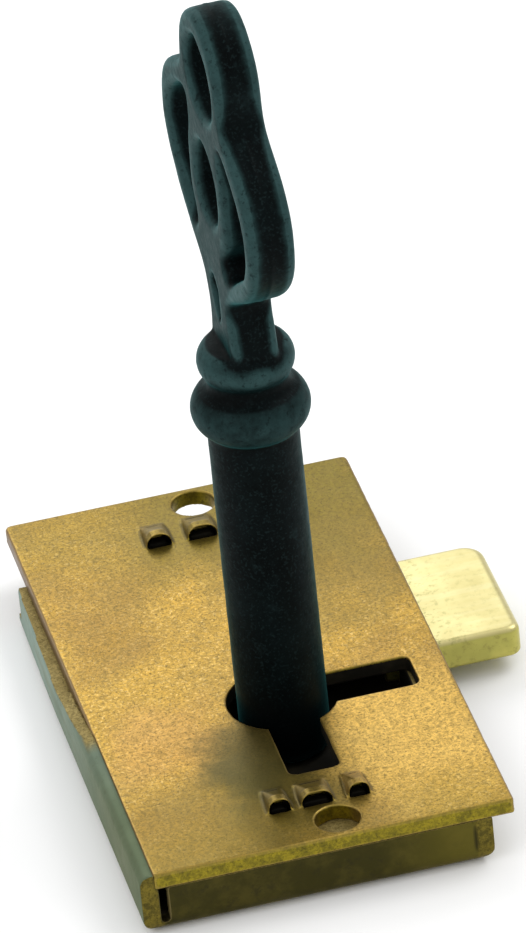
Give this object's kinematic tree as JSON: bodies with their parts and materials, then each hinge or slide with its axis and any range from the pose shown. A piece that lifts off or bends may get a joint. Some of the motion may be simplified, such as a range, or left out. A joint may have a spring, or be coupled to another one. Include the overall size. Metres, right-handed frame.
{
  "type": "cabinet deadbolt lock",
  "caption": "Thin folded brass cabinet deadbolt: flat cover plate over a shallow case, sideways brass bolt, and a dark iron barrel key with a pierced bow.",
  "frame": {"origin": "midway between the two screw holes, on the cover plate's underside", "axes": "+X is the way the bolt throws, +Y runs along the plate from the keyhole towards the bolt, +Z points out of the case along the key"},
  "size_m": [0.0409, 0.058, 0.0754],
  "materials": {
    "plate_brass": "aged, mottled golden tan with fine dark speckle",
    "case_brass": "aged olive brass, bright on the cut edges",
    "bolt_brass": "bright worn brass",
    "key_iron": "dark blue-green blackened casting, semi-matte",
    "pin_steel": "turned steel, oiled",
    "ward_brass": "plain brass",
    "spring_steel": "blued spring steel"
  },
  "bodies": {
    "case": {"cover_plate": "plate_brass", "case_pan": "case_brass", "guide_stud": "pin_steel", "spring_post": "pin_steel", "floor_ward": "ward_brass", "cap_ward": "ward_brass", "friction_spring": "spring_steel", "drill_pin": "pin_steel"},
    "key": {"key": "key_iron"},
    "bolt": {"bolt": "bolt_brass"}
  },
  "joints": [
    {"name": "key_turn", "type": "hinge", "parent": "case", "child": "key", "pos_m": [0, -0.00678, 0], "axis": [0, 0, 1], "range_deg": [0, 50]},
    {"name": "bolt_slide", "type": "slide", "parent": "case", "child": "bolt", "axis": [1, 0, 0], "range_m": [-0.008, 0]}
  ],
  "couplings": [
    {"joint": "key_turn", "follows": "bolt_slide", "rad_per_m": -109.08}
  ]
}
